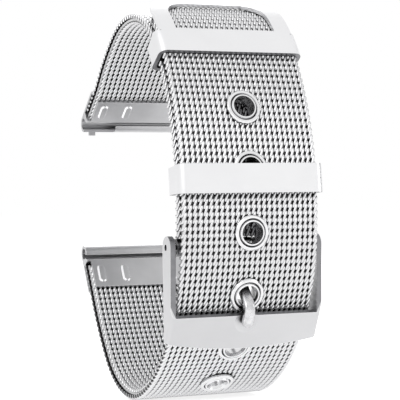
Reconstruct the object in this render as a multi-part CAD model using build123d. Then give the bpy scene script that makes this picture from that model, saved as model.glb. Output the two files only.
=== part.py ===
# Milanese mesh watch band, buckled into its loop, as separate pieces.
#
# X runs across the band, Z is up, and the front of the loop, with the buckle, faces -Y.
# The origin is the centre of the spring bar bore in the upper watch end.
# All lengths are in millimetres and all turns in degrees.
import os
from math import cos, degrees, radians, sin, tan

from build123d import *

os.makedirs("parts", exist_ok=True)

# The woven layers
band_width = 21.6
layer_thickness = 1.6
layer_gap = 0.3
edge_ease = 0.4
seat_gap = 0.05
cut_overrun = 1.0
right_angle = 90.0
straight_angle = 180.0

# The short layer's course, from the upper watch end over the crown to the buckle
short_heading_angle = 143.2
end_run = 8.0
set_back_radius = 12.0
set_back_angle = -9.0
upper_leg_radius = 42.0
upper_leg_angle = 15.0
crown_radius = 15.0
crown_angle = 86.0
front_radius = 40.5
short_front_run = 30.4

# The long layer's course, from its tip down the front and round to the lower watch end
tail_crown_angle = 36.6
tail_front_run = 31.5
chin_radius = 28.6
chin_angle = 58.3
sole_radius = 15.9
sole_angle = 70.6
lower_leg_radius = 55.0
lower_leg_angle = 12.4

# Where the mesh of each leg bends, as a share of its crown or sole arc
upper_flex_share = 0.18
lower_flex_share = 0.45
knuckle_gap = 0.25

# The watch end pieces: a rolled outer leaf, and an inner clamp with a heel that closes the bore
end_bore_radius = 0.95
end_sheet = 0.45
roll_stop_angle = 306.0
outer_leaf_length = 6.9
heel_start_angle = -15.0
heel_stop_angle = 55.0
heel_bead_radius = 0.3
clamp_start = 1.95
clamp_length = 5.0
clamp_side_inset = 0.7
crimp_insets = (2.2, 6.5)
crimp_length = 3.3
crimp_width = 1.3
crimp_height = 0.3
crimp_chamfer = 0.2
notch_length = 5.5
notch_angle = 236.0
notch_overrun_angle = 10.0
tab_width = 1.1
tab_height = 0.6
tab_inset = 1.0

# The spring bar that the buckle turns on, and the tubes on the short mesh that hold it
pivot_bore_radius = 0.85
pivot_tube_wall = 0.45
pivot_tube_inset = 0.2
pivot_mesh_gap = 0.08
tongue_window = 2.9
bar_tube_clearance = 0.06
bar_tube_wall = 0.25
bar_tube_inset = 0.4
bar_lip = 0.35
pin_radius = 0.4
pin_clearance = 0.04
pin_recess = 0.2
pin_chamfer = 0.12
pin_shoulder_length = 1.6
spring_wire_radius = 0.1
spring_clearance = 0.05
spring_turn_count = 8
spring_wire_side_count = 4

# The buckle frame
frame_side_clearance = 0.4
frame_sheet = 0.8
arm_end_radius = 1.65
arm_end_forward = 0.35
arm_hole_clearance = 0.06
bar_start_past_eyelet = 2.5
bar_end_height = 4.3
bar_middle_height = 5.6
bar_gap = 0.75
flange_foot = 1.1
frame_bend_radius = 0.7
tongue_seat_depth = 0.35
tongue_seat_radius = 1.9

# The tongue
tongue_width = 1.7
tongue_thickness = 1.1
tongue_ease = 0.42
tongue_tip_radius = 0.75
tongue_ring_wall = 0.5
tongue_ring_width = 2.2
tongue_inner_lean_angle = 0.3
tongue_lean_angle = 27.0
tongue_inner_radius = 2.0
tongue_outer_radius = 1.4
tongue_rest_gap = 0.15
tongue_tip_past_bar_edge = 1.9

# The eyelets in the long layer
eyelet_count = 6
tongue_reach = 6.7
eyelet_spacing = 9.1
eyelets_above_tongue_count = 3
eyelet_bore_radius = 1.5
eyelet_wall = 0.25
eyelet_hole_clearance = 0.05
eyelet_groove_radius = 2.0
eyelet_groove_height = 0.12
eyelet_rim_radius = 2.6
eyelet_rim_height = 0.42
eyelet_rim_ease = 0.16
eyelet_lip_height = 0.5
eyelet_lip_ease = 0.15
eyelet_back_radius = 2.0
eyelet_back_height = 0.12
eyelet_back_seat = 0.08

# The sliding keeper
keeper_from_tip = 30.5
keeper_width = 4.1
keeper_sheet = 0.4
keeper_side_clearance = 0.2
keeper_front_clearance = 0.75
keeper_back_clearance = 0.25
keeper_corner_radius = 1.1

# The clip on the tail's tip: an arched frame with a window, and a loop round both layers
clip_sheet = 0.6
clip_top_overhang = 1.0
clip_loop_start = 9.2
clip_loop_width = 3.9
clip_side_clearance = 0.1
clip_back_clearance = 0.3
clip_corner_radius = 1.2
clip_arch_inset = 0.1
clip_arch_radius = 6.5
clip_border = 2.7
clip_window_end = 9.3
tail_inset = 0.6


class Course:
    """A chain of tangent runs and arcs in the YZ plane, each a length and a turn."""

    def __init__(self, y, z, heading, pieces):
        self.pieces = []
        start = 0.0
        for length, turn in pieces:
            self.pieces.append((start, length, turn, y, z, heading))
            y, z, heading = self.step(y, z, heading, length, turn, length)
            start += length
        self.length = start

    @staticmethod
    def step(y, z, heading, length, turn, along):
        """The place and heading reached after going along a piece."""
        turned = turn * along / length
        half_turn = radians(turned) / 2
        chord = along * sin(half_turn) / half_turn if half_turn else along
        middle = radians(heading) + half_turn
        return y + chord * cos(middle), z + chord * sin(middle), heading + turned

    def at(self, s):
        chosen = self.pieces[0]
        for piece in self.pieces:
            if s >= piece[0]:
                chosen = piece
        start, length, turn, y, z, heading = chosen
        return self.step(y, z, heading, length, turn, s - start)

    def heading(self, s):
        return self.at(s)[2]

    def point(self, s, out=0.0):
        """The point at a length s, moved outwards from the loop."""
        y, z, heading = self.at(s)
        angle = radians(heading)
        return Vector(0, y + out * sin(angle), z - out * cos(angle))

    def plane(self, s, out=0.0):
        """A plane on the course: x across the band, y back along it, z outwards."""
        angle = radians(self.heading(s))
        return Plane(origin=self.point(s, out), x_dir=(1, 0, 0), z_dir=(0, sin(angle), -cos(angle)))

    def edges(self, s0, s1, out):
        """The edges of the course between two lengths, at one offset."""
        found = []
        for start, length, turn, *_ in self.pieces:
            first = s0 if start == 0 else max(s0, start)
            stop = start + length
            last = s1 if stop >= self.length else min(s1, stop)
            if last <= first:
                continue
            ends = (self.point(first, out), self.point(last, out))
            if turn == 0:
                found.append(Edge.make_line(*ends))
            else:
                middle = self.point((first + last) / 2, out)
                found.append(Edge.make_three_point_arc(ends[0], middle, ends[1]))
        return found

    def strip(self, s0, s1, out0, out1):
        """The flat face between two offsets of the course."""
        sides = self.edges(s0, s1, out0) + self.edges(s0, s1, out1)
        first = Edge.make_line(self.point(s0, out0), self.point(s0, out1))
        last = Edge.make_line(self.point(s1, out0), self.point(s1, out1))
        return Face(Wire.combine(sides + [first, last])[0])

    def plate(self, s0, s1, out0, out1, width):
        """The strip made solid, centred across the band."""
        face = self.strip(s0, s1, out0, out1)
        return extrude(face, amount=width / 2, dir=(1, 0, 0), both=True)


def arc_length(radius, turn):
    return radius * radians(abs(turn))


def arc_angle(radius, length):
    return degrees(length / radius)


def across(radius, length, centre, x=0.0):
    """A round bar across the band, centred on a point of the YZ plane."""
    plane = Plane(origin=(x, centre.Y, centre.Z), x_dir=(0, 1, 0), z_dir=(1, 0, 0))
    return plane * Cylinder(radius, length)


def side_edges(solid, half_width, shortest):
    """The edges that run along the band at its two sides."""
    return [
        edge
        for edge in solid.edges()
        if abs(abs(edge.center().X) - half_width) < seat_gap and edge.length > shortest
    ]


def write(name, shape):
    shape.label = name
    export_step(shape, os.path.join("parts", name + ".step"))
    solids = len(shape.solids())
    box = shape.bounding_box().size
    print(f"{name}: {solids} solid, {shape.volume:.2f}, {box.X:.2f} x {box.Y:.2f} x {box.Z:.2f}")


# The two courses and the places along them
half_layer = layer_thickness / 2
half_band = band_width / 2
frame_inner_half = half_band + frame_side_clearance
layer_step = layer_thickness + layer_gap
mesh_rise = end_bore_radius - half_layer
short_start = radians(short_heading_angle)
short_course = Course(
    mesh_rise * sin(short_start),
    -mesh_rise * cos(short_start),
    short_heading_angle,
    [
        (end_run, 0),
        (arc_length(set_back_radius, set_back_angle), set_back_angle),
        (arc_length(upper_leg_radius, upper_leg_angle), upper_leg_angle),
        (arc_length(crown_radius, crown_angle), crown_angle),
        (short_front_run, arc_angle(front_radius, short_front_run)),
    ],
)
crown_start = short_course.pieces[3][0]
front_start = short_course.pieces[4][0]
tail_start = front_start - arc_length(crown_radius, tail_crown_angle)
tail_point = short_course.point(tail_start, layer_step)
long_course = Course(
    tail_point.Y,
    tail_point.Z,
    short_course.heading(tail_start),
    [
        (arc_length(crown_radius + layer_step, tail_crown_angle), tail_crown_angle),
        (tail_front_run, arc_angle(front_radius + layer_step, tail_front_run)),
        (arc_length(chin_radius, chin_angle), chin_angle),
        (arc_length(sole_radius, sole_angle), sole_angle),
        (arc_length(lower_leg_radius, lower_leg_angle), lower_leg_angle),
        (end_run, 0),
    ],
)
sole_start = long_course.pieces[3][0]
upper_flex = crown_start + upper_flex_share * arc_length(crown_radius, crown_angle)
lower_flex = sole_start + lower_flex_share * arc_length(sole_radius, sole_angle)
upper_flex_point = short_course.point(upper_flex)
lower_flex_point = long_course.point(lower_flex)
lower_bore = long_course.point(long_course.length, -mesh_rise)

pivot_tube_radius = pivot_bore_radius + pivot_tube_wall
pivot = short_course.point(short_course.length, half_layer - pivot_tube_radius)
front_normal = radians(short_course.heading(front_start))
front_point = short_course.point(front_start)
front_centre = Vector(
    0,
    front_point.Y - front_radius * sin(front_normal),
    front_point.Z + front_radius * cos(front_normal),
)
pivot_place = long_course.pieces[1][0] + short_front_run * (front_radius + layer_step) / front_radius
buckled_place = pivot_place + tongue_reach
eyelet_places = [
    buckled_place + (number - eyelets_above_tongue_count) * eyelet_spacing for number in range(eyelet_count)
]
bar_place = buckled_place + bar_start_past_eyelet
bar_outer = half_layer + bar_gap + frame_sheet
clip_arch_half_width = half_band - clip_arch_inset


def mesh_layer(course, s0, s1):
    """A stretch of the woven band as one curved plate with eased sides."""
    plate = course.plate(s0, s1, -half_layer, half_layer, band_width)
    return chamfer(side_edges(plate, half_band, layer_thickness + seat_gap), edge_ease)


def knuckle(point):
    """The round end that a flexing stretch of mesh turns on."""
    return across(half_layer, band_width - 2 * edge_ease, point)


def knuckle_room(point):
    """The room that the round end needs in the stretch beside it."""
    return across(half_layer + knuckle_gap, band_width + 2 * cut_overrun, point)


def polar(radius, angle):
    return (radius * cos(radians(angle)), radius * sin(radians(angle)))


def end_plane(bore, mesh_heading, side):
    """A plane through a watch end: x towards the mesh, y outwards, z across the band."""
    angle = radians(mesh_heading)
    return Plane(origin=bore, x_dir=(0, cos(angle), sin(angle)), z_dir=(side, 0, 0))


def crimp(across_place, side, face_out):
    """One pressed oval ridge on a leaf, lengthwise to the band."""
    middle = clamp_start + clamp_length / 2
    plane = Plane(origin=(middle, face_out, across_place), x_dir=(1, 0, 0), z_dir=(0, side, 0))
    ridge = extrude(plane * SlotOverall(crimp_length, crimp_width), amount=crimp_height)
    top = ridge.faces().sort_by(Axis(plane.origin, plane.z_dir))[-1]
    return chamfer(top.edges(), crimp_chamfer)


def crimps(side, face_out):
    """The row of ridges, the same on both halves of a leaf."""
    row = []
    for inset in crimp_insets:
        row.append(crimp(half_band - inset, side, face_out))
        row.append(crimp(inset - half_band, side, face_out))
    return row


def roll_and_leaf():
    """The outer leaf and its roll round the bore, in the plane of the watch end."""
    outer = end_bore_radius + end_sheet
    turn = roll_stop_angle - right_angle
    inside = CenterArc((0, 0), end_bore_radius, right_angle, turn)
    outside = CenterArc((0, 0), outer, right_angle, turn)
    leaf = Polyline(
        (0, outer),
        (outer_leaf_length, outer),
        (outer_leaf_length, end_bore_radius),
        (0, end_bore_radius),
    )
    profile = make_face(inside + Line(inside @ 1, outside @ 1) + outside + leaf)
    whole = extrude(profile, amount=half_band, both=True)
    for ridge in crimps(1, outer):
        whole += ridge
    return whole


def roll_notch():
    """The cut that opens the roll at one end of the tube."""
    reach = end_bore_radius + end_sheet + cut_overrun
    stop_angle = roll_stop_angle + notch_overrun_angle
    sweep = CenterArc((0, 0), reach, notch_angle, stop_angle - notch_angle)
    wedge = make_face(Line((0, 0), sweep @ 0) + sweep + Line(sweep @ 1, (0, 0)))
    return Pos(0, 0, half_band - notch_length) * extrude(wedge, amount=notch_length + cut_overrun)


def notch_tab():
    """The small tab bent out at the notch's edge."""
    root = end_bore_radius + end_sheet / 2
    reach = end_sheet / 2 + tab_height
    place = half_band - tab_inset - tab_width / 2
    tab = Pos(root + reach / 2, -end_sheet / 2, 0) * Box(reach, end_sheet, tab_width)
    return Pos(0, 0, place) * Rot(0, 0, notch_angle) * tab


def end_clamp():
    """The inner leaf of a watch end, with the heel that closes the bore on the mesh's side."""
    inner_face = end_bore_radius - layer_thickness
    leaf_face = inner_face - end_sheet
    top = end_bore_radius - seat_gap
    start = polar(end_bore_radius, heel_start_angle)
    stop = polar(end_bore_radius, heel_stop_angle)
    arc = CenterArc((0, 0), end_bore_radius, heel_start_angle, heel_stop_angle - heel_start_angle)
    bead_top = (clamp_start - end_sheet, leaf_face + heel_bead_radius)
    bead_side = (clamp_start - end_sheet + heel_bead_radius, leaf_face)
    bead = RadiusArc(bead_top, bead_side, -heel_bead_radius)
    outline = (
        arc
        + Polyline(stop, (stop[0], top), (clamp_start, top), (clamp_start, leaf_face), bead_side)
        + bead
        + Line(bead_top, start)
    )
    heel = extrude(make_face(outline), amount=half_band, both=True)
    leaf = Box(clamp_length, end_sheet, band_width - 2 * clamp_side_inset)
    leaf = Pos(clamp_start + clamp_length / 2, leaf_face + end_sheet / 2) * leaf
    whole = heel + leaf
    for ridge in crimps(-1, leaf_face):
        whole += ridge
    return whole


def pivot_tube(side):
    """One of the two tubes on the end of the short mesh."""
    inner = tongue_window / 2
    outer = half_band - pivot_tube_inset
    middle = side * (inner + outer) / 2
    tube = across(pivot_tube_radius, outer - inner, pivot, middle)
    return tube - across(pivot_bore_radius, outer - inner + cut_overrun, pivot, middle)


def bar_tube():
    """The spring bar's tube, with a lip at each end that holds the pins in."""
    radius = pivot_bore_radius - bar_tube_clearance
    half = half_band - bar_tube_inset
    tube = across(radius, 2 * half, pivot)
    tube -= across(radius - bar_tube_wall, 2 * (half - bar_lip), pivot)
    return tube - across(pin_radius + pin_clearance, 2 * half + cut_overrun, pivot)


def bar_pin(side):
    """One pin of the spring bar, with the shoulder that rides in the tube."""
    bore = pivot_bore_radius - bar_tube_clearance - bar_tube_wall
    shoulder_end = half_band - bar_tube_inset - bar_lip - seat_gap
    pin_end = frame_inner_half + frame_sheet - pin_recess
    shoulder = across(
        bore - pin_clearance,
        pin_shoulder_length,
        pivot,
        side * (shoulder_end - pin_shoulder_length / 2),
    )
    pin = across(pin_radius, pin_end - shoulder_end, pivot, side * (pin_end + shoulder_end) / 2)
    tip = pin.faces().sort_by(Axis.X)[-1 if side > 0 else 0]
    return shoulder + chamfer(tip.edges(), pin_chamfer)


def bar_spring():
    """The spring between the pins' shoulders."""
    bore = pivot_bore_radius - bar_tube_clearance - bar_tube_wall
    coil_radius = bore - spring_clearance - spring_wire_radius
    shoulder_end = half_band - bar_tube_inset - bar_lip - seat_gap
    length = 2 * (shoulder_end - pin_shoulder_length - spring_wire_radius - seat_gap)
    path = Helix(pitch=length / spring_turn_count, height=length, radius=coil_radius)
    section = Plane(origin=path @ 0, z_dir=path % 0) * RegularPolygon(spring_wire_radius, spring_wire_side_count)
    coil = sweep(section, path=path)
    plane = Plane(origin=(-length / 2, pivot.Y, pivot.Z), x_dir=(0, 1, 0), z_dir=(1, 0, 0))
    return plane * coil


def arm_outline():
    """An arm of the buckle frame, in the YZ plane, from the pivot down to the bar."""
    bar = long_course.plane(bar_place, bar_outer)
    top = bar.origin
    low = top - bar.y_dir * bar_end_height
    back = low - bar.z_dir * flange_foot
    end = Pos(pivot.Y - arm_end_forward, pivot.Z) * Circle(arm_end_radius)
    front_edge = Edge.make_line((top.Y, top.Z), (low.Y, low.Z))
    foot_edge = Edge.make_line((low.Y, low.Z), (back.Y, back.Z))
    rim = end.edges() + [front_edge, foot_edge]
    return Plane(origin=(0, 0, 0), x_dir=(0, 1, 0), z_dir=(1, 0, 0)) * make_hull(rim)


def bar_outline():
    """The bar's outline in its own plane: straight above, bulged below."""
    half = frame_inner_half + frame_sheet
    return make_face(
        Line((-half, 0), (half, 0))
        + Line((half, 0), (half, -bar_end_height))
        + ThreePointArc((half, -bar_end_height), (0, -bar_middle_height), (-half, -bar_end_height))
        + Line((-half, -bar_end_height), (-half, 0))
    )


def buckle_frame():
    """The buckle's frame: a bar across the front with its ends bent back into two arms."""
    bar_plane = long_course.plane(bar_place, bar_outer)
    whole = bar_plane * extrude(bar_outline(), amount=-frame_sheet)
    outline = arm_outline()
    for side in (-1, 1):
        place = side * (frame_inner_half + frame_sheet / 2)
        whole += Pos(place, 0, 0) * extrude(outline, amount=frame_sheet / 2, both=True)
    outer_half = frame_inner_half + frame_sheet
    front = [
        edge
        for edge in whole.edges()
        if abs(abs(edge.center().X) - outer_half) < seat_gap
        and abs((edge.center() - bar_plane.origin).dot(bar_plane.z_dir)) < seat_gap
    ]
    whole = fillet(front, frame_bend_radius)
    hole = across(pin_radius + arm_hole_clearance, 2 * outer_half + cut_overrun, pivot)
    seat_radius = (tongue_seat_radius**2 + tongue_seat_depth**2) / (2 * tongue_seat_depth)
    seat = long_course.plane(bar_place, bar_outer + seat_radius - tongue_seat_depth)
    seat_centre = seat.origin - seat.y_dir * tongue_tip_past_bar_edge / 2
    return whole - hole - Pos(seat_centre) * Sphere(seat_radius)


def tongue_course():
    """The tongue's middle line: down behind the long layer, out through the eyelet, onto the bar."""
    inner_heading = short_course.heading(short_course.length) + tongue_inner_lean_angle
    inner = radians(inner_heading)
    outward = long_course.heading(buckled_place) - right_angle
    through = radians(outward + tongue_lean_angle)
    hole = long_course.point(buckled_place)
    gap = hole - pivot
    turn = degrees_between(inner_heading, outward + tongue_lean_angle)
    inner_tangent = tongue_inner_radius * tan(radians(abs(turn)) / 2)
    cross = cos(inner) * sin(through) - sin(inner) * cos(through)
    first_run = (gap.Y * sin(through) - gap.Z * cos(through)) / cross
    second_run = (cos(inner) * gap.Z - sin(inner) * gap.Y) / cross
    bar_heading = long_course.heading(bar_place)
    outer_turn = degrees_between(outward + tongue_lean_angle, bar_heading)
    outer_tangent = tongue_outer_radius * tan(radians(outer_turn) / 2)
    rest = bar_outer - tongue_seat_depth + tongue_rest_gap + tongue_thickness / 2
    rise = rest / cos(radians(tongue_lean_angle))
    drift = rest * tan(radians(tongue_lean_angle))
    tip_run = tongue_tip_past_bar_edge + bar_start_past_eyelet - drift - outer_tangent
    return Course(
        pivot.Y,
        pivot.Z,
        inner_heading,
        [
            (first_run - inner_tangent, 0),
            (arc_length(tongue_inner_radius, turn), turn),
            (second_run - inner_tangent + rise - outer_tangent, 0),
            (arc_length(tongue_outer_radius, outer_turn), outer_turn),
            (tip_run, 0),
        ],
    )


def degrees_between(first, last):
    return (last - first + straight_angle) % (2 * straight_angle) - straight_angle


def tongue():
    """The tongue: a ring on the pivot and a bent strip with a rounded tip."""
    course = tongue_course()
    ring_inner = pivot_bore_radius - bar_tube_clearance + arm_hole_clearance
    ring_outer = ring_inner + tongue_ring_wall
    half = tongue_thickness / 2
    strip = course.plate(ring_inner, course.length, -half, half, tongue_width)
    end = course.point(course.length)
    corners = [
        edge
        for edge in strip.edges()
        if abs(abs(edge.center().X) - tongue_width / 2) < seat_gap
        and (edge.center() - end).length < tongue_width / 2 + seat_gap
    ]
    strip = fillet(corners, tongue_tip_radius)
    strip = fillet(side_edges(strip, tongue_width / 2, tongue_thickness + seat_gap), tongue_ease)
    whole = strip + across(ring_outer, tongue_ring_width, pivot)
    return whole - across(ring_inner, tongue_ring_width + cut_overrun, pivot)


def short_mesh_front():
    """The short mesh from its flex to the tubes of the buckle's pivot."""
    layer = mesh_layer(short_course, upper_flex, short_course.length) - knuckle_room(upper_flex_point)
    layer -= across(pivot_tube_radius + pivot_mesh_gap, band_width + cut_overrun, pivot)
    ring_room = pivot_bore_radius + tongue_ring_wall + layer_gap
    return layer - across(ring_room, tongue_window, pivot)


def long_mesh_front():
    """The long mesh from its tip to its flex, with the row of eyelet holes."""
    layer = mesh_layer(long_course, tail_inset, lower_flex) - knuckle_room(lower_flex_point)
    tip_width = band_width + cut_overrun
    tip_block = long_course.plate(0, clip_arch_radius, -layer_thickness, layer_thickness, tip_width)
    layer -= tip_block - arch_prism(half_band, tail_inset, clip_loop_start, clip_arch_radius)
    radius = eyelet_bore_radius + eyelet_wall + eyelet_hole_clearance
    for place in eyelet_places:
        layer -= long_course.plane(place) * Cylinder(radius, layer_thickness + 2 * cut_overrun)
    return layer


def eyelet(s):
    """A rolled eyelet: a barrel through the mesh, an eased rim and lip in front, a flat rim behind."""
    barrel = eyelet_bore_radius + eyelet_wall
    front = half_layer + seat_gap
    back = -half_layer - eyelet_back_seat
    groove = (eyelet_groove_radius, front + eyelet_groove_height)
    lip_top = front + eyelet_lip_height
    rim_top = front + eyelet_rim_height
    lip = Polyline(
        (eyelet_bore_radius, front),
        (eyelet_bore_radius + eyelet_lip_ease, lip_top),
        (eyelet_groove_radius - eyelet_lip_ease, lip_top),
        groove,
    )
    rim = Polyline(
        groove,
        (eyelet_groove_radius + eyelet_rim_ease, rim_top),
        (eyelet_rim_radius - eyelet_rim_ease, rim_top),
        (eyelet_rim_radius, rim_top - eyelet_rim_ease),
        (eyelet_rim_radius, front),
    )
    rest = Polyline(
        (eyelet_rim_radius, front),
        (barrel, front),
        (barrel, back),
        (eyelet_back_radius, back),
        (eyelet_back_radius, back - eyelet_back_height),
        (eyelet_bore_radius, back - eyelet_back_height),
        (eyelet_bore_radius, front),
    )
    return long_course.plane(s) * revolve(Plane.XZ * make_face(lip + rim + rest), axis=Axis.Z)


def band_loop(s0, s1, sheet, side, front, back, corner):
    """A closed loop of sheet round both layers, following the course."""
    front_out = half_layer + front
    back_out = -half_layer - layer_step - back
    half_width = half_band + side
    outer = long_course.plate(s0, s1, back_out - sheet, front_out + sheet, 2 * (half_width + sheet))
    outer = fillet(loop_corners(outer, half_width + sheet), corner)
    inner = long_course.plate(s0, s1, back_out, front_out, 2 * half_width)
    inner = fillet(loop_corners(inner, half_width), corner - sheet)
    return outer - inner


def loop_corners(block, half_width):
    """The edges of a block that run along the band at its corners."""
    return [
        edge
        for edge in block.edges()
        if abs(abs(edge.center().X) - half_width) < seat_gap and edge.geom_type == GeomType.CIRCLE
    ]


def keeper():
    stop = keeper_from_tip + keeper_width
    return band_loop(
        keeper_from_tip,
        stop,
        keeper_sheet,
        keeper_side_clearance,
        keeper_front_clearance,
        keeper_back_clearance,
        keeper_corner_radius,
    )


def arch_prism(half_width, top, bottom, radius):
    """An outline with two rounded upper corners on the tail's tip, as a prism through it."""
    middle = long_course.plane(clip_loop_start / 2)
    upper = (long_course.point(top) - middle.origin).dot(middle.y_dir)
    lower = (long_course.point(bottom) - middle.origin).dot(middle.y_dir)
    outline = Pos(0, (upper + lower) / 2) * Rectangle(2 * half_width, upper - lower)
    corners = outline.vertices().sort_by(Axis.Y)[-2:]
    return middle * extrude(fillet(corners, radius), amount=crown_radius, both=True)


def tip_clip():
    """The clip on the tail: an arched frame with a window, and a loop round both layers."""
    stop = clip_loop_start + clip_loop_width
    low = half_layer + seat_gap
    arch_end = clip_loop_start + clip_sheet
    arch_width = 2 * clip_arch_half_width
    plate = long_course.plate(-clip_top_overhang, arch_end, low, low + clip_sheet, arch_width)
    plate = plate & arch_prism(clip_arch_half_width, -clip_top_overhang, arch_end, clip_arch_radius)
    window_top = clip_border - clip_top_overhang
    window_half = clip_arch_half_width - clip_border
    plate -= arch_prism(window_half, window_top, clip_window_end, clip_arch_radius - clip_border)
    loop = band_loop(
        clip_loop_start,
        stop,
        clip_sheet,
        clip_side_clearance,
        seat_gap,
        clip_back_clearance,
        clip_corner_radius,
    )
    return plate + loop


# The watch ends
upper_end = end_plane(Vector(0, 0, 0), short_heading_angle, -1)
lower_end = end_plane(lower_bore, long_course.heading(long_course.length) - straight_angle, 1)
write("short_end_roll", upper_end * (roll_and_leaf() - roll_notch() + notch_tab()))
write("short_end_clamp", upper_end * end_clamp())
write("long_end_roll", lower_end * roll_and_leaf())
write("long_end_clamp", lower_end * end_clamp())

# The two layers of mesh, each in a leg and a front
upper_leg = mesh_layer(short_course, clamp_start + seat_gap, upper_flex)
lower_leg = mesh_layer(long_course, lower_flex, long_course.length - clamp_start - seat_gap)
write("short_mesh_leg", upper_leg + knuckle(upper_flex_point))
write("short_mesh_front", short_mesh_front())
write("long_mesh_front", long_mesh_front())
write("long_mesh_leg", lower_leg + knuckle(lower_flex_point))

# The pivot, the buckle and the tongue
for side, word in ((-1, "left"), (1, "right")):
    write("pivot_tube_" + word, pivot_tube(side))
    write("spring_bar_pin_" + word, bar_pin(side))
write("spring_bar_tube", bar_tube())
write("spring_bar_spring", bar_spring())
write("buckle_frame", buckle_frame())
write("buckle_tongue", tongue())

# The eyelets, the keeper and the clip
for number, place in enumerate(eyelet_places, start=1):
    write("eyelet_" + str(number), eyelet(place))
write("keeper", keeper())
write("tip_clip", tip_clip())
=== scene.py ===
from math import ceil, cos, degrees, pi, radians, sin

import bpy
import numpy as np
from mathutils import Matrix, Vector


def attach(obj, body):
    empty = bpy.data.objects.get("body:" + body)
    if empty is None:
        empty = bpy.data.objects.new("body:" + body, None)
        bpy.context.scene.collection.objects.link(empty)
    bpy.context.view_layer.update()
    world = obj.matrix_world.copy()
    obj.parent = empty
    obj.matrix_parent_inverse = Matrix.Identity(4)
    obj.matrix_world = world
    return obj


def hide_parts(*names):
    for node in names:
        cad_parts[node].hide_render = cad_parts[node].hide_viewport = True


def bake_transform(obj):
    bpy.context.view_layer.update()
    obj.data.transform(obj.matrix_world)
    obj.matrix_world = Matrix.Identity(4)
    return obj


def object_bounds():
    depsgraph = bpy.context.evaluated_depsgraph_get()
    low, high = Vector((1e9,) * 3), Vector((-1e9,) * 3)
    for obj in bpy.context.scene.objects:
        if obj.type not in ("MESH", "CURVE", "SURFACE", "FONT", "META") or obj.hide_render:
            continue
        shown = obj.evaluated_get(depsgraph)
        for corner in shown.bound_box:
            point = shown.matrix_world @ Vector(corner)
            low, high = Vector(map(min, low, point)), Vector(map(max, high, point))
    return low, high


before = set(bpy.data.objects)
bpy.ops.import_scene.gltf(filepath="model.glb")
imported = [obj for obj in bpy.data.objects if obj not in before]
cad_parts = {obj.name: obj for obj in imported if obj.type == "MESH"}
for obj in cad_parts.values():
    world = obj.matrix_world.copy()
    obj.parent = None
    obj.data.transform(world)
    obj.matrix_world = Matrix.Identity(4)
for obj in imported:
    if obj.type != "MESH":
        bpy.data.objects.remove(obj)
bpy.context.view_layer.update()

mm = 0.001

# The two layers of mesh, as the source makes them
band_width = 21.6 * mm
half_band = band_width / 2
layer_thickness = 1.6 * mm
half_layer = layer_thickness / 2
layer_gap = 0.3 * mm
layer_step = layer_thickness + layer_gap
end_bore_radius = 0.95 * mm
mesh_rise = end_bore_radius - half_layer
end_run = 8.0 * mm
short_heading_angle = 143.2
set_back_radius = 12.0 * mm
set_back_angle = -9.0
upper_leg_radius = 42.0 * mm
upper_leg_angle = 15.0
crown_radius = 15.0 * mm
crown_angle = 86.0
front_radius = 40.5 * mm
outer_front_radius = front_radius + layer_step
short_front_run = 30.4 * mm
tail_crown_angle = 36.6
tail_front_run = 31.5 * mm
chin_radius = 28.6 * mm
chin_angle = 58.3
sole_radius = 15.9 * mm
sole_angle = 70.6
lower_leg_radius = 55.0 * mm
lower_leg_angle = 12.4

# Where the legs flex, as a share of the crown's and the sole's arc, and how far the bend spreads
upper_flex_share = 0.18
lower_flex_share = 0.45
upper_blend_reach = 7.0 * mm
lower_blend_reach = 8.0 * mm

# What the weave leaves free
clamp_start = 1.95 * mm
tail_inset = 0.6 * mm
tail_corner_radius = 6.5 * mm
pivot_room = 1.4 * mm
ring_room = 1.42 * mm
tongue_window = 2.9 * mm
tongue_reach = 6.7 * mm
eyelet_spacing = 9.1 * mm
eyelet_count = 6
eyelets_above_tongue_count = 3
eyelet_hole_radius = 1.8 * mm

# The weave: pressed coils lying across the band; a lean is a strand's slant as a share of the pitch
strand_count = 26
row_pitch = 1.015 * mm
wire_radius = 0.225 * mm
side_margin = 0.01 * mm
coil_reach = 0.76 * mm
coil_squareness = 0.5
front_lean = 0.265
back_lean = 0.5 - front_lean
ground_depth = 0.02 * mm
wire_sides = 10
steps_per_strand = 11
piece_rows = 16

# Where the wire keeps its bright tone instead of painted shade, and the painted shadow on the inner
# layer behind an open eyelet
bright_depth_share = 0.5
bright_side_reach = 0.7 * mm
hole_shade = 0.2

# The hidden core of a layer, which stands in for the wires inside it; it takes the painted valley
# shade, with painted highlights at its sides
core_inset = 0.4 * mm
core_lift = 0.38 * mm
core_side_painted_light = 0.4
core_columns = 44
core_steps_per_row = 2

# The edges and pressed ridges of the fittings, which get the painted dark edge finish and the
# painted flank highlights; a slope is the cosine of an angle between faces
cut_slope = 0.6
course_samples = 800
clip_loop_start = 9.2 * mm
arm_inner = 11.15 * mm
bar_start_past_eyelet = 2.5 * mm
ridge_insets = (2.2 * mm, 6.5 * mm)
ridge_half_width = 0.7 * mm
flank_slope = 0.97

# The camera, as the photograph was taken: level, turned from +Y towards +X, and tilted a little
camera_place = (-82.19 * mm, -229.87 * mm, -13.4 * mm)
camera_turn_angle = 22.0
camera_tilt_angle = 0.84
camera_lens = 125.2
camera_sensor = 36.0
camera_clip_start = 10.0 * mm


# The courses of the two layers


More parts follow.
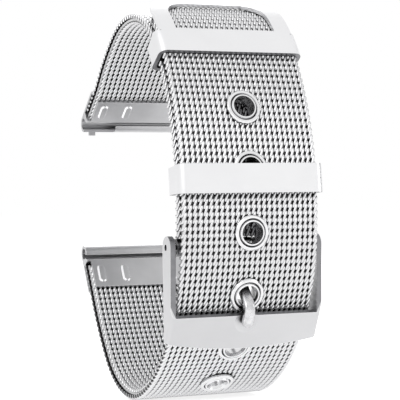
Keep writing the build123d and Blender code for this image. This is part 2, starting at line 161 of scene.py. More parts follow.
class Course:
    """A chain of tangent runs and arcs in the YZ plane, each a length and a turn."""

    def __init__(self, y, z, heading, pieces):
        self.starts = []
        self.places = []
        start = 0.0
        for length, turn in pieces:
            self.starts.append(start)
            bend = radians(turn) / length
            self.places.append((y, z, heading, bend))
            y, z, heading = (float(v) for v in self.step(y, z, heading, bend, length))
            start += length
        self.length = start
        self.places = np.array(self.places)

    @staticmethod
    def step(y, z, heading, bend, along):
        """The place and heading reached after going along a stretch of steady bend."""
        half_turn = bend * along / 2
        chord = along * np.sinc(half_turn / pi)
        middle = heading + half_turn
        return y + chord * np.cos(middle), z + chord * np.sin(middle), heading + 2 * half_turn

    def piece_at(self, s):
        """The number of the piece that each length s falls in."""
        return np.clip(np.searchsorted(self.starts, s, side="right") - 1, 0, len(self.starts) - 1)

    def at(self, s, out=0.0):
        """The places y and z at lengths s, moved outwards from the loop."""
        s = np.asarray(s, dtype=float)
        index = self.piece_at(s)
        y, z, heading, bend = self.places[index].T
        y, z, heading = self.step(y, z, heading, bend, s - np.asarray(self.starts)[index])
        return y + out * np.sin(heading), z - out * np.cos(heading)

    def heading(self, s):
        """The heading at one length s, in radians."""
        index = int(self.piece_at(s))
        y, z, heading, bend = self.places[index]
        return heading + bend * (s - self.starts[index])

    def point(self, s, out=0.0):
        """The point at one length s, moved outwards from the loop."""
        y, z = self.at(s, out)
        return Vector((0.0, float(y), float(z)))


def arc_length(radius, turn):
    """The length of an arc that turns by some degrees."""
    return radius * radians(abs(turn))


short_course = Course(
    mesh_rise * sin(radians(short_heading_angle)),
    -mesh_rise * cos(radians(short_heading_angle)),
    radians(short_heading_angle),
    [
        (end_run, 0),
        (arc_length(set_back_radius, set_back_angle), set_back_angle),
        (arc_length(upper_leg_radius, upper_leg_angle), upper_leg_angle),
        (arc_length(crown_radius, crown_angle), crown_angle),
        (short_front_run, degrees(short_front_run / front_radius)),
    ],
)
_, _, _, crown_start, front_start = short_course.starts
tail_start = front_start - arc_length(crown_radius, tail_crown_angle)
tail_point = short_course.point(tail_start, layer_step)
long_course = Course(
    tail_point.y,
    tail_point.z,
    short_course.heading(tail_start),
    [
        (arc_length(crown_radius + layer_step, tail_crown_angle), tail_crown_angle),
        (tail_front_run, degrees(tail_front_run / outer_front_radius)),
        (arc_length(chin_radius, chin_angle), chin_angle),
        (arc_length(sole_radius, sole_angle), sole_angle),
        (arc_length(lower_leg_radius, lower_leg_angle), lower_leg_angle),
        (end_run, 0),
    ],
)
_, outer_front_start, _, sole_start, _, _ = long_course.starts

upper_flex = crown_start + upper_flex_share * arc_length(crown_radius, crown_angle)
lower_flex = sole_start + lower_flex_share * arc_length(sole_radius, sole_angle)
pivot_place = outer_front_start + short_front_run * outer_front_radius / front_radius
eyelet_places = [
    pivot_place + tongue_reach + (number - eyelets_above_tongue_count) * eyelet_spacing
    for number in range(eyelet_count)
]
bar_place = eyelet_places[eyelets_above_tongue_count] + bar_start_past_eyelet


# The weave: one coil

strand_pitch = (band_width - 2 * wire_radius - 2 * side_margin) / (strand_count - 0.5)
coil_depth = half_layer - wire_radius + ground_depth
strands = 2 * strand_count - 1


def squared(wave):
    """A wave pressed towards a square one, as a coil is pressed flat."""
    return np.sign(wave) * np.abs(wave) ** coil_squareness


def coil_path():
    """The middle line of one coil: across the band, along it and out from it."""
    turn = np.linspace(-pi / 2, -pi / 2 + pi * strands, strands * steps_per_strand + 1)
    strand = np.minimum((turn + pi / 2) // pi, strands - 1)
    along = coil_reach * squared(np.sin(turn))
    out = coil_depth * squared(np.cos(turn))
    lean = np.where(strand % 2 == 0, -front_lean, back_lean)
    slant = lean * np.sin(pi / 2 * along / coil_reach)
    across = strand_pitch * ((strands - 1) / 4 - strand / 2 + slant)
    return np.stack([across, along, out], axis=1)


def wire_angles():
    """The angles of the points round the wire, from the one that faces out of the coil."""
    return np.arange(wire_sides) * 2 * pi / wire_sides


def wire_rings(path):
    """Rings of points round a coil's middle line, flattened at the layer's faces."""
    ahead = np.gradient(path, axis=0)
    ahead /= np.linalg.norm(ahead, axis=1, keepdims=True)
    outward = path * np.array([0.0, 1.0, 1.0])
    outward -= ahead * np.sum(outward * ahead, axis=1, keepdims=True)
    outward /= np.linalg.norm(outward, axis=1, keepdims=True)
    aside = np.cross(ahead, outward)
    angles = wire_angles()
    rings = path[:, None, :] + wire_radius * np.cos(angles)[None, :, None] * outward[:, None, :]
    rings += wire_radius * np.sin(angles)[None, :, None] * aside[:, None, :]
    rings[..., 2] = np.clip(rings[..., 2], -half_layer, half_layer)
    return rings


def wire_painted_light(path):
    """The painted light of each point of a coil: bright most outside it and near a face of the
    layer, painted shade elsewhere.
    """
    facing = (1 + np.cos(wire_angles())) / 2
    nearness = np.clip(np.abs(path[:, 2]) / (coil_depth * bright_depth_share), 0, 1)
    nearness[np.abs(path[:, 0]) > half_band - bright_side_reach] = 1.0
    return np.outer(nearness, facing).ravel()


def quads_round(rings, sides):
    """The quads of a skin over closed rings of points, as rows of four point numbers."""
    ring = np.arange(rings - 1)[:, None] * sides
    side = np.arange(sides)[None, :]
    after = (side + 1) % sides
    corners = [ring + side, ring + after, ring + after + sides, ring + side + sides]
    return np.stack(corners, axis=2).reshape(-1, 4)


coil_line = coil_path()
coil = wire_rings(coil_line)
coil_painted_light = wire_painted_light(coil_line)
coil_faces = quads_round(len(coil), wire_sides)


# The weave: what is cut from it and what lies in shade


def inside_eyelet(across, along):
    """True where a point of the long layer lies in one of the eyelets' holes."""
    found = np.zeros(across.shape, dtype=bool)
    for place in eyelet_places:
        found |= across**2 + (along - place) ** 2 < eyelet_hole_radius**2
    return found


def outside_tail(across, along):
    """True where a point lies past the rounded tip of the long layer."""
    corner = tail_inset + tail_corner_radius
    side = np.abs(across) - (half_band - tail_corner_radius)
    far = side**2 + (along - corner) ** 2 > tail_corner_radius**2
    past_corner = (along < corner) & (side > 0) & far
    return past_corner | (along < tail_inset)


def long_cut(across, along):
    """True where the long layer has no mesh."""
    return inside_eyelet(across, along) | outside_tail(across, along)


def at_pivot(across, along):
    """True where a point of the short layer would enter the pivot's tubes or the tongue's ring."""
    room = np.where(np.abs(across) < tongue_window / 2, ring_room, pivot_room)
    return along > short_course.length - room


def under_eyelet(across, along):
    """True where a point of the short layer lies behind one of the eyelets' holes, where the wire
    gets painted shadow.
    """
    outer_along = outer_front_start + (along - front_start) * outer_front_radius / front_radius
    return inside_eyelet(across, outer_along)


# The weave: rows of coils on a course


def lay(course, across, along, out, faces, cut):
    """Points laid on a course, with those of their faces that a cut leaves."""
    y, z = course.at(along, out)
    if cut is not None:
        faces = faces[~cut(across, along)[faces].any(axis=1)]
    return np.stack([across, y, z], axis=1), faces


def lay_coil(course, row, cut, shaded):
    """One row's coil on a course: its points, faces and painted light."""
    across, along, out = coil.reshape(-1, 3).T
    along = (row + 0.5) * row_pitch + clamp_start + along
    painted_light = coil_painted_light
    # Painted shadow on the front of the inner layer's wires behind the eyelets' holes
    if shaded is not None:
        painted_light = painted_light * np.where((out > 0) & shaded(across, along), hole_shade, 1.0)
    return *lay(course, across, along, out, coil_faces, cut), painted_light


def lay_core(course, first, last, cut):
    """The flat tube hidden inside some rows of a layer: its points, faces and painted light."""
    half = np.linspace(-1, 1, core_columns) * (half_band - core_inset)
    half_painted_light = np.zeros(core_columns)
    # Painted highlights on the core's two sides; the rest of it takes the painted valley shade
    half_painted_light[[0, -1]] = core_side_painted_light
    ring = np.concatenate([half, half[::-1]])
    ring_out = np.repeat((core_lift, -core_lift), core_columns)
    lines = (last - first) * core_steps_per_row + 1
    across = np.tile(ring, lines)
    along = np.repeat(clamp_start + row_pitch * np.linspace(first, last, lines), len(ring))
    out = np.tile(ring_out, lines)
    painted_light = np.tile(half_painted_light, 2 * lines)
    return *lay(course, across, along, out, quads_round(lines, len(ring)), cut), painted_light


def weave(name, course, first, last, cut, shaded):
    """A stretch of rows of woven coils on a course, with its core, as one object."""
    shells = [lay_coil(course, row, cut, shaded) for row in range(first, last)]
    shells.append(lay_core(course, first, last, cut))
    points, faces, painted_light = zip(*shells)
    counts = [len(shell) for shell in points]
    firsts = np.cumsum(counts) - counts
    faces = np.concatenate([shell + number for shell, number in zip(faces, firsts)])
    points = np.concatenate(points)
    painted_light = np.concatenate(painted_light)
    used = np.unique(faces)
    renumber = np.zeros(len(points), dtype=np.int64)
    renumber[used] = np.arange(len(used))
    return woven_piece(name, points[used], renumber[faces], painted_light[used])


def woven_piece(name, points, faces, painted_light):
    """A smooth object of quads, with the painted light of its points kept on it."""
    mesh = bpy.data.meshes.new(name)
    mesh.vertices.add(len(points))
    mesh.vertices.foreach_set("co", points.ravel())
    mesh.loops.add(faces.size)
    mesh.loops.foreach_set("vertex_index", faces.ravel())
    mesh.polygons.add(len(faces))
    mesh.polygons.foreach_set("loop_start", np.arange(len(faces)) * 4)
    mesh.update(calc_edges=True)
    mesh.polygons.foreach_set("use_smooth", np.ones(len(faces), dtype=bool))
    kept = mesh.attributes.new("painted_light", "FLOAT", "POINT")
    kept.data.foreach_set("value", painted_light)
    return new_object(name, mesh)


def new_object(name, data):
    """An object of some data, in the scene."""
    made = bpy.data.objects.new(name, data)
    bpy.context.scene.collection.objects.link(made)
    return made


def row_at(place):
    """The whole rows of coils between the first one's start and a place on its course."""
    return int((place - clamp_start) / row_pitch)


def stretch(name, course, start, stop, cut=None, shaded=None):
    """The rows between two places, cut into pieces of a moderate size."""
    first = row_at(start)
    rows = row_at(stop) - first
    parts = ceil(rows / piece_rows)
    bounds = [first + rows * number // parts for number in range(parts + 1)]
    return [
        weave(f"{name}_{number}", course, low, high, cut, shaded)
        for number, (low, high) in enumerate(zip(bounds, bounds[1:]), start=1)
    ]


def place_weave():
    """Both layers of woven coils, bent where the legs flex, in place of the plain plates."""
    bend_first = upper_flex - upper_blend_reach
    bend_last = upper_flex + upper_blend_reach
    fold_first = lower_flex - lower_blend_reach
    fold_last = lower_flex + lower_blend_reach
    front_end = short_course.length
    leg_end = long_course.length - clamp_start
    upper = stretch("upper_leg_weave", short_course, clamp_start, bend_first)
    bend = stretch("upper_bend_weave", short_course, bend_first, bend_last)
    inner = stretch("inner_front_weave", short_course, bend_last, front_end, at_pivot, under_eyelet)
    outer = stretch("outer_front_weave", long_course, 0.0, fold_first, long_cut)
    fold = stretch("lower_bend_weave", long_course, fold_first, fold_last)
    lower = stretch("lower_leg_weave", long_course, fold_last, leg_end)
    for piece in upper:
        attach(piece, "upper_leg")
    for piece in inner + outer:
        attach(piece, "front")
    for piece in lower:
        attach(piece, "lower_leg")
    for piece in bend:
        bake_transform(piece)
    for piece in fold:
        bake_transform(piece)
    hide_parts("short_mesh_leg")
    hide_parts("short_mesh_front")
    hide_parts("long_mesh_front")
    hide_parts("long_mesh_leg")
    pieces = upper + bend + inner + outer + fold + lower
    return pieces


# The effects that the finishes share

# Lines and clouds of the metal's grain
line_detail = 3.0
line_relief = 0.02 * mm
cloud_detail = 2.0
noise_middle = 0.5

# How open a place is where the painted shade in bores and gaps is darkest, and where most finishes
# are as bright as bare metal, free of painted shade
closed_to = 0.15
usual_open_from = 0.75
painted_crevice_shade_samples = 8

# How well a rounded normal matches the face's own, for the painted edge light: on a flat place, and
# on a full edge
flat_match = 0.998
edge_match = 0.93
edge_samples = 6


def new_group(name, inputs, outputs):
    """An empty shader node group with named inputs and outputs."""
    group = bpy.data.node_groups.new(name, "ShaderNodeTree")
    for label, kind in inputs:
        group.interface.new_socket(label, in_out="INPUT", socket_type=kind)
    for label, kind in outputs:
        group.interface.new_socket(label, in_out="OUTPUT", socket_type=kind)
    start = group.nodes.new("NodeGroupInput")
    end = group.nodes.new("NodeGroupOutput")
    return group, start, end


def add(tree, kind, **settings):
    """A node with some of its settings changed."""
    node = tree.nodes.new(kind)
    for name, value in settings.items():
        setattr(node, name, value)
    return node


def smooth_rise(tree, value, low, high):
    """A value's smooth rise between two bounds, from 0 to 1."""
    rise = add(tree, "ShaderNodeMapRange", interpolation_type="SMOOTHSTEP")
    tree.links.new(value, rise.inputs["Value"])
    rise.inputs["From Min"].default_value = low
    rise.inputs["From Max"].default_value = high
    return rise


def brushing_group():
    """Fine lines drawn along one axis of the object, as a roughness value and a normal."""
    group, start, end = new_group(
        "brushing",
        [
            ("Stretch", "NodeSocketVector"),
            ("Base Roughness", "NodeSocketFloat"),
            ("Roughness Spread", "NodeSocketFloat"),
            ("Depth", "NodeSocketFloat"),
        ],
        [("Roughness", "NodeSocketFloat"), ("Normal", "NodeSocketVector")],
    )
    links = group.links
    place = add(group, "ShaderNodeTexCoord")
    stretched = add(group, "ShaderNodeVectorMath", operation="MULTIPLY")
    links.new(place.outputs["Object"], stretched.inputs[0])
    links.new(start.outputs["Stretch"], stretched.inputs[1])
    lines = add(group, "ShaderNodeTexNoise")
    lines.inputs["Scale"].default_value = 1.0
    lines.inputs["Detail"].default_value = line_detail
    links.new(stretched.outputs[0], lines.inputs["Vector"])
    centred = add(group, "ShaderNodeMath", operation="SUBTRACT")
    links.new(lines.outputs["Fac"], centred.inputs[0])
    centred.inputs[1].default_value = noise_middle
    spread = add(group, "ShaderNodeMath", operation="MULTIPLY_ADD")
    links.new(centred.outputs[0], spread.inputs[0])
    links.new(start.outputs["Roughness Spread"], spread.inputs[1])
    links.new(start.outputs["Base Roughness"], spread.inputs[2])
    links.new(spread.outputs[0], end.inputs["Roughness"])
    bump = add(group, "ShaderNodeBump")
    bump.inputs["Distance"].default_value = line_relief
    links.new(start.outputs["Depth"], bump.inputs["Strength"])
    links.new(lines.outputs["Fac"], bump.inputs["Height"])
    links.new(bump.outputs["Normal"], end.inputs["Normal"])
    return group


def tone_group():
    """A slow change of tone over the metal, as a colour."""
    group, start, end = new_group(
        "tone",
        [("Light", "NodeSocketColor"), ("Dark", "NodeSocketColor"), ("Size", "NodeSocketFloat")],
        [("Color", "NodeSocketColor")],
    )
    links = group.links
    place = add(group, "ShaderNodeTexCoord")
    cloud = add(group, "ShaderNodeTexNoise")
    cloud.inputs["Detail"].default_value = cloud_detail
    links.new(place.outputs["Object"], cloud.inputs["Vector"])
    links.new(start.outputs["Size"], cloud.inputs["Scale"])
    mix = add(group, "ShaderNodeMix", data_type="RGBA")
    links.new(cloud.outputs["Fac"], mix.inputs["Factor"])
    links.new(start.outputs["Dark"], mix.inputs["A"])
    links.new(start.outputs["Light"], mix.inputs["B"])
    links.new(mix.outputs["Result"], end.inputs["Color"])
    return group


def painted_crevice_shade_group():
    """Paints shade into a colour in bores, slots and gaps."""
    group, start, end = new_group(
        "painted_crevice_shade",
        [
            ("Color", "NodeSocketColor"),
            ("Reach", "NodeSocketFloat"),
            ("Darkest", "NodeSocketFloat"),
            ("Open From", "NodeSocketFloat"),
        ],
        [("Color", "NodeSocketColor")],
    )
    links = group.links
    openness = add(group, "ShaderNodeAmbientOcclusion", samples=painted_crevice_shade_samples)
    links.new(start.outputs["Reach"], openness.inputs["Distance"])
    rise = smooth_rise(group, openness.outputs["AO"], closed_to, usual_open_from)
    links.new(start.outputs["Open From"], rise.inputs["From Max"])
    links.new(start.outputs["Darkest"], rise.inputs["To Min"])
    shade = add(group, "ShaderNodeVectorMath", operation="SCALE")
    links.new(start.outputs["Color"], shade.inputs[0])
    links.new(rise.outputs["Result"], shade.inputs["Scale"])
    links.new(shade.outputs[0], end.inputs["Color"])
    return group


def painted_edge_light_group():
    """A mask of the edges that get painted highlights and painted dark lines, from how the normal
    turns there.
    """
    group, start, end = new_group(
        "painted_edge_light",
        [("Width", "NodeSocketFloat")],
        [("Mask", "NodeSocketFloat")],
    )
    links = group.links
    plain = add(group, "ShaderNodeNewGeometry")
    turned = add(group, "ShaderNodeBevel", samples=edge_samples)
    links.new(start.outputs["Width"], turned.inputs["Radius"])
    match = add(group, "ShaderNodeVectorMath", operation="DOT_PRODUCT")
    links.new(plain.outputs["Normal"], match.inputs[0])
    links.new(turned.outputs["Normal"], match.inputs[1])
    rise = smooth_rise(group, match.outputs["Value"], flat_match, edge_match)
    links.new(rise.outputs["Result"], end.inputs["Mask"])
    return group


brushing = brushing_group()
tone = tone_group()
painted_crevice_shade = painted_crevice_shade_group()
painted_edge_light = painted_edge_light_group()


# The steel finishes

# How often the grain repeats in a metre, along X, Y and Z
brushed_across = (300, 3000, 3000)
satin_across = (400, 3500, 3500)
drawn_across = (1500, 700, 700)
even_grain = (900, 900, 900)
wire_grain = (1500, 1500, 1500)

# The woven wire's tones, the painted shade of its inner side, and the painted light below which it
# is dark and above which it is bright
crest_light = (0.76, 0.76, 0.77)
crest_dark = (0.66, 0.66, 0.67)
painted_valley_shade = (0.09, 0.09, 0.092)
dark_below = 0.1
bright_above = 0.6


def steel(
    name,
    light,
    dark,
    cloud_size,
    roughness,
    roughness_spread,
    grain,
    grain_depth,
    painted_gap_shade_reach,
    painted_gap_shade_darkest,
    open_from=usual_open_from,
):
    """A steel finish: its two tones, its grain, and how far and how dark the painted shade in its
    gaps is.
    """
    material = bpy.data.materials.new(name)
    material.use_nodes = True
    tree = material.node_tree
    shader = tree.nodes["Principled BSDF"]
    shader.inputs["Metallic"].default_value = 1.0
    lines = add(tree, "ShaderNodeGroup", node_tree=brushing)
    lines.inputs["Stretch"].default_value = grain
    lines.inputs["Base Roughness"].default_value = roughness
    lines.inputs["Roughness Spread"].default_value = roughness_spread
    lines.inputs["Depth"].default_value = grain_depth
    tree.links.new(lines.outputs["Roughness"], shader.inputs["Roughness"])
    tree.links.new(lines.outputs["Normal"], shader.inputs["Normal"])
    cloud = add(tree, "ShaderNodeGroup", node_tree=tone)
    cloud.inputs["Light"].default_value = (*light, 1.0)
    cloud.inputs["Dark"].default_value = (*dark, 1.0)
    cloud.inputs["Size"].default_value = cloud_size
    painted_gap_shade = add(tree, "ShaderNodeGroup", node_tree=painted_crevice_shade)
    painted_gap_shade.inputs["Reach"].default_value = painted_gap_shade_reach
    painted_gap_shade.inputs["Darkest"].default_value = painted_gap_shade_darkest
    painted_gap_shade.inputs["Open From"].default_value = open_from
    tree.links.new(cloud.outputs["Color"], painted_gap_shade.inputs["Color"])
    tree.links.new(painted_gap_shade.outputs["Color"], shader.inputs["Base Color"])
    return material


def paint_edge_light(material, width, color):
    """Gives a finish painted edge light of a width and a colour: a painted highlight where the
    colour is bright, painted shade where it is dark.
    """
    tree = material.node_tree
    shader = tree.nodes["Principled BSDF"]
    body = shader.inputs["Base Color"].links[0].from_socket
    edges = add(tree, "ShaderNodeGroup", node_tree=painted_edge_light)
    edges.inputs["Width"].default_value = width
    mix = add(tree, "ShaderNodeMix", data_type="RGBA")
    tree.links.new(edges.outputs["Mask"], mix.inputs["Factor"])
    tree.links.new(body, mix.inputs["A"])
    mix.inputs["B"].default_value = (*color, 1.0)
    tree.links.new(mix.outputs["Result"], shader.inputs["Base Color"])


def brushed_steel():
    """The bright brushed sheet of the keeper and the clip."""
    return steel(
        "brushed_steel",
        light=(0.86, 0.86, 0.87),
        dark=(0.8, 0.8, 0.81),
        cloud_size=200,
        roughness=0.34,
        roughness_spread=0.12,
        grain=brushed_across,
        grain_depth=0.15,
        painted_gap_shade_reach=1.0 * mm,
        painted_gap_shade_darkest=0.15,
    )


def buckle_steel():
    """The greyer brushed sheet of the buckle's frame, with painted highlights along its edges."""
    material = steel(
        "buckle_steel",
        light=(0.63, 0.63, 0.64),
        dark=(0.58, 0.58, 0.59),
        cloud_size=200,
        roughness=0.36,
        roughness_spread=0.12,
        grain=brushed_across,
        grain_depth=0.15,
        painted_gap_shade_reach=1.0 * mm,
        painted_gap_shade_darkest=0.15,
    )
    paint_edge_light(material, 0.15 * mm, (0.85, 0.85, 0.86))
    return material


def painted_dark_cut_edge():
    """The sheared edges of sheet, painted dark for the dark reflection they show, with painted dark
    lines along their own edges.
    """
    material = steel(
        "painted_dark_cut_edge",
        light=(0.3, 0.3, 0.31),
        dark=(0.2, 0.2, 0.21),
        cloud_size=900,
        roughness=0.4,
        roughness_spread=0.15,
        grain=brushed_across,
        grain_depth=0.2,
        painted_gap_shade_reach=1.0 * mm,
        painted_gap_shade_darkest=0.3,
    )
    paint_edge_light(material, 0.1 * mm, (0.12, 0.12, 0.125))
    return material


def polished_steel():
    """The bright rolled eyelets, with painted shade dark in their bores and grooves."""
    return steel(
        "polished_steel",
        light=(0.86, 0.86, 0.87),
        dark=(0.74, 0.74, 0.75),
        cloud_size=500,
        roughness=0.24,
        roughness_spread=0.1,
        grain=even_grain,
        grain_depth=0.05,
        painted_gap_shade_reach=2.5 * mm,
        painted_gap_shade_darkest=0.05,
        open_from=0.5,
    )


def worn_steel():
    """The tongue, rubbed bright in patches."""
    return steel(
        "worn_steel",
        light=(0.88, 0.88, 0.89),
        dark=(0.4, 0.4, 0.41),
        cloud_size=1300,
        roughness=0.26,
        roughness_spread=0.16,
        grain=drawn_across,
        grain_depth=0.3,
        painted_gap_shade_reach=1.2 * mm,
        painted_gap_shade_darkest=0.1,
    )


def painted_flank_highlight_steel():
    """The painted highlights on the flanks of the ridges pressed into the clamp leaves, a brighter
    copy of the steel.
    """
    return steel(
        "painted_flank_highlight_steel",
        light=(0.95, 0.95, 0.96),
        dark=(0.9, 0.9, 0.91),
        cloud_size=300,
        roughness=0.2,
        roughness_spread=0.06,
        grain=even_grain,
        grain_depth=0.05,
        painted_gap_shade_reach=0.4 * mm,
        painted_gap_shade_darkest=0.5,
    )


def satin_steel():
    """The grey satin sheet of the watch ends, and the pivot's small pieces, with painted highlights
    along their edges.
    """
    material = steel(
        "satin_steel",
        light=(0.6, 0.6, 0.61),
        dark=(0.44, 0.44, 0.45),
        cloud_size=250,
        roughness=0.34,
        roughness_spread=0.14,
        grain=satin_across,
        grain_depth=0.25,
        painted_gap_shade_reach=1.5 * mm,
        painted_gap_shade_darkest=0.08,
    )
    paint_edge_light(material, 0.12 * mm, (0.96, 0.96, 0.97))
    return material


def woven_wire():
    """Wire that is bright outside its coil, with painted shade making it dull and dark on the inner
    side.
    """
    material = steel(
        "woven_wire",
        light=crest_light,
        dark=crest_dark,
        cloud_size=600,
        roughness=0.24,
        roughness_spread=0.12,
        grain=wire_grain,
        grain_depth=0.05,
        painted_gap_shade_reach=1.2 * mm,
        painted_gap_shade_darkest=0.4,
    )
    tree = material.node_tree
    shader = tree.nodes["Principled BSDF"]
    crest = shader.inputs["Base Color"].links[0].from_socket
    painted_light = add(tree, "ShaderNodeAttribute", attribute_name="painted_light")
    rise = smooth_rise(tree, painted_light.outputs["Fac"], dark_below, bright_above)
    mix = add(tree, "ShaderNodeMix", data_type="RGBA")
    mix.inputs["A"].default_value = (*painted_valley_shade, 1.0)
    tree.links.new(rise.outputs["Result"], mix.inputs["Factor"])
    tree.links.new(crest, mix.inputs["B"])
    tree.links.new(mix.outputs["Result"], shader.inputs["Base Color"])
    return material


# Which faces have which finish


def cut_faces(node, course, start):
    """The faces of a sheet piece past a place that are its cut edges, across the course."""
    reach = np.linspace(0.0, course.length, course_samples)
    y, z = course.at(reach)
    found = []
    for face in node.data.polygons:
        middle = face.center
        nearest = int(np.argmin((y - middle.y) ** 2 + (z - middle.z) ** 2))
        heading = course.heading(reach[nearest])
        slope = face.normal.y * cos(heading) + face.normal.z * sin(heading)
        if abs(slope) > cut_slope and reach[nearest] > start:
            found.append(face)
    return found


def arm_rims(node):
    """The rims of the buckle frame's arms, above the bar, which get the painted dark edge finish."""
    bar_height = long_course.point(bar_place).z
    return [
        face
        for face in node.data.polygons
        if abs(face.normal.x) < cut_slope
        and abs(face.center.x) > arm_inner
        and face.center.z > bar_height
    ]


def ridge_flanks(node, heading):
    """The sloping sides of the ridges pressed into a clamp leaf that lies along a heading, which get
    the painted flank highlights.
    """
    leaf = Vector((0.0, sin(heading), -cos(heading)))
    found = []
    for face in node.data.polygons:
        inset = half_band - abs(face.center.x)
        near = any(abs(inset - ridge) < ridge_half_width for ridge in ridge_insets)
        if near and abs(face.normal.dot(leaf)) < flank_slope:
            found.append(face)
    return found


def dress(piece, finish, second=None, faces=()):
    """Gives a piece its finish, and a second one on some of its faces."""
    piece.data.materials.clear()
    piece.data.materials.append(finish)
    if second is not None:
        piece.data.materials.append(second)
    for face in piece.data.polygons:
        face.material_index = 0
    for face in faces:
        face.material_index = 1


def dress_nodes():
    """Gives every CAD node its finish; the plain mesh plates among them don't show."""
    brushed = brushed_steel()
    buckle = buckle_steel()
    edge = painted_dark_cut_edge()
    polished = polished_steel()
    worn = worn_steel()
    painted_flank_highlight = painted_flank_highlight_steel()
    satin = satin_steel()
    for name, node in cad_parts.items():
        if name in ("keeper", "tip_clip"):
            dress(node, brushed, edge, cut_faces(node, long_course, clip_loop_start))
        elif name == "buckle_frame":
            dress(node, buckle, edge, cut_faces(node, long_course, 0.0) + arm_rims(node))
        elif name.startswith("eyelet"):
            dress(node, polished)
        elif name == "buckle_tongue":
            dress(node, worn)
        elif name == "short_end_clamp":
            dress(node, satin, painted_flank_highlight, ridge_flanks(node, short_course.heading(0.0)))
        elif name == "long_end_clamp":
            end_heading = long_course.heading(long_course.length)
            dress(node, satin, painted_flank_highlight, ridge_flanks(node, end_heading))
        else:
            dress(node, satin)


def dress_weave(pieces):
    """Gives the woven pieces their wire."""
    wire = woven_wire()
    for piece in pieces:
        piece.data.materials.append(wire)


# The studio

# What the lamps and the card look at
band_middle = (0.0, -0.025, -0.02)

# The lamps: name, place, width and height, watts
lamps = [
    ("key", (-0.35, -0.35, 0.35), (0.4, 0.4), 0.9),
    ("fill", (0.45, -0.3, 0.1), (0.3, 0.4), 0.4),
    ("back", (0.1, 0.45, 0.3), (0.4, 0.3), 0.8),
]

# The dark card at the right, which the metal mirrors
card_place = (0.45, -0.12, -0.02)
card_width = 0.14
card_height = 0.7
card_color = (0.03, 0.03, 0.03)

# The floor, and the white that the camera and the metal see in it and in the surround
floor_drop = 0.4 * mm
floor_reach = 1.6
floor_depth = 3.0
floor_color = (0.9, 0.9, 0.9)
dull_roughness = 0.9
floor_shown = 0.75
surround_shown = 0.7
surround_color = (1.0, 1.0, 1.0)
surround_light = 0.3


def shown_white(tree, strength):
    """A white that only the camera and mirrored rays see, as a strength."""
    links = tree.links
    path = add(tree, "ShaderNodeLightPath")
    seen = add(tree, "ShaderNodeMath", operation="MAXIMUM")
    links.new(path.outputs["Is Camera Ray"], seen.inputs[0])
    links.new(path.outputs["Is Glossy Ray"], seen.inputs[1])
    through = add(tree, "ShaderNodeMath", operation="MAXIMUM")
    links.new(seen.outputs[0], through.inputs[0])
    links.new(path.outputs["Is Transmission Ray"], through.inputs[1])
    scaled = add(tree, "ShaderNodeMath", operation="MULTIPLY")
    links.new(through.outputs[0], scaled.inputs[0])
    scaled.inputs[1].default_value = strength
    return scaled


def dull_material(name, color):
    """A dull, even material."""
    material = bpy.data.materials.new(name)
    material.use_nodes = True
    shader = material.node_tree.nodes["Principled BSDF"]
    shader.inputs["Base Color"].default_value = (*color, 1.0)
    shader.inputs["Roughness"].default_value = dull_roughness
    return material


def flat_sheet(name, corners, material):
    """A flat sheet with four corners."""
    mesh = bpy.data.meshes.new(name)
    mesh.from_pydata(corners, [], [(0, 1, 2, 3)])
    mesh.materials.append(material)
    return new_object(name, mesh)


def aim(made, place):
    """Puts a lamp or a card at a place, facing the middle of the band."""
    made.location = place
    made.rotation_euler = (Vector(band_middle) - Vector(place)).to_track_quat("-Z", "Y").to_euler()


def pale_floor():
    """A pale dull floor that shows white."""
    material = dull_material("pale_floor", floor_color)
    tree = material.node_tree
    shader = tree.nodes["Principled BSDF"]
    shader.inputs["Specular IOR Level"].default_value = 0.0
    glow = add(tree, "ShaderNodeEmission")
    seen = shown_white(tree, floor_shown)
    tree.links.new(seen.outputs[0], glow.inputs["Strength"])
    both = add(tree, "ShaderNodeAddShader")
    tree.links.new(shader.outputs[0], both.inputs[0])
    tree.links.new(glow.outputs[0], both.inputs[1])
    tree.links.new(both.outputs[0], tree.nodes["Material Output"].inputs["Surface"])
    return material


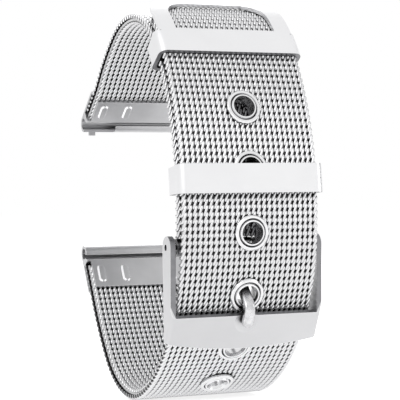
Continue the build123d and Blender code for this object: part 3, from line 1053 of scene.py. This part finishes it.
def make_floor():
    """A floor under the band that keeps its shadow."""
    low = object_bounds()[0][2] - floor_drop
    corners = [
        (-floor_reach, -floor_reach, low),
        (floor_reach, -floor_reach, low),
        (floor_reach, floor_depth, low),
        (-floor_reach, floor_depth, low),
    ]
    floor = flat_sheet("floor", corners, pale_floor())


def make_world():
    """A soft even surround, white where the camera sees it."""
    world = bpy.data.worlds.new("studio")
    bpy.context.scene.world = world
    world.use_nodes = True
    tree = world.node_tree
    surround = tree.nodes["Background"]
    surround.inputs["Color"].default_value = (*surround_color, 1.0)
    seen = shown_white(tree, surround_shown)
    level = add(tree, "ShaderNodeMath", operation="ADD")
    tree.links.new(seen.outputs[0], level.inputs[0])
    level.inputs[1].default_value = surround_light
    tree.links.new(level.outputs[0], surround.inputs["Strength"])


def make_lamps():
    """Soft lamps that look at the band."""
    for name, place, (width, height), power in lamps:
        data = bpy.data.lights.new(name, "AREA")
        data.shape = "RECTANGLE"
        data.size = width
        data.size_y = height
        data.energy = power
        aim(new_object(name, data), place)


def make_card():
    """The dark card, out of the camera's sight and without a shadow."""
    wide = card_width / 2
    high = card_height / 2
    corners = [(-wide, -high, 0), (wide, -high, 0), (wide, high, 0), (-wide, high, 0)]
    sheet = flat_sheet("right_card", corners, dull_material("right_card", card_color))
    aim(sheet, card_place)
    sheet.visible_camera = False
    sheet.visible_shadow = False


def make_camera():
    """The camera at the photograph's viewing angle."""
    data = bpy.data.cameras.new("camera")
    data.sensor_width = camera_sensor
    data.lens = camera_lens
    data.clip_start = camera_clip_start
    camera = new_object("camera", data)
    turned = Matrix.Rotation(-radians(camera_turn_angle), 4, "Z")
    level = Matrix.Rotation(pi / 2, 4, "X")
    tilted = Matrix.Rotation(-radians(camera_tilt_angle), 4, "Z")
    camera.matrix_world = Matrix.Translation(camera_place) @ turned @ level @ tilted
    bpy.context.scene.camera = camera


def main():
    """Dresses the fittings, weaves the mesh and sets up the studio."""
    dress_nodes()
    pieces = place_weave()
    dress_weave(pieces)
    make_floor()
    make_world()
    make_lamps()
    make_card()
    make_camera()
    bpy.context.scene.view_settings.view_transform = "Standard"


main()
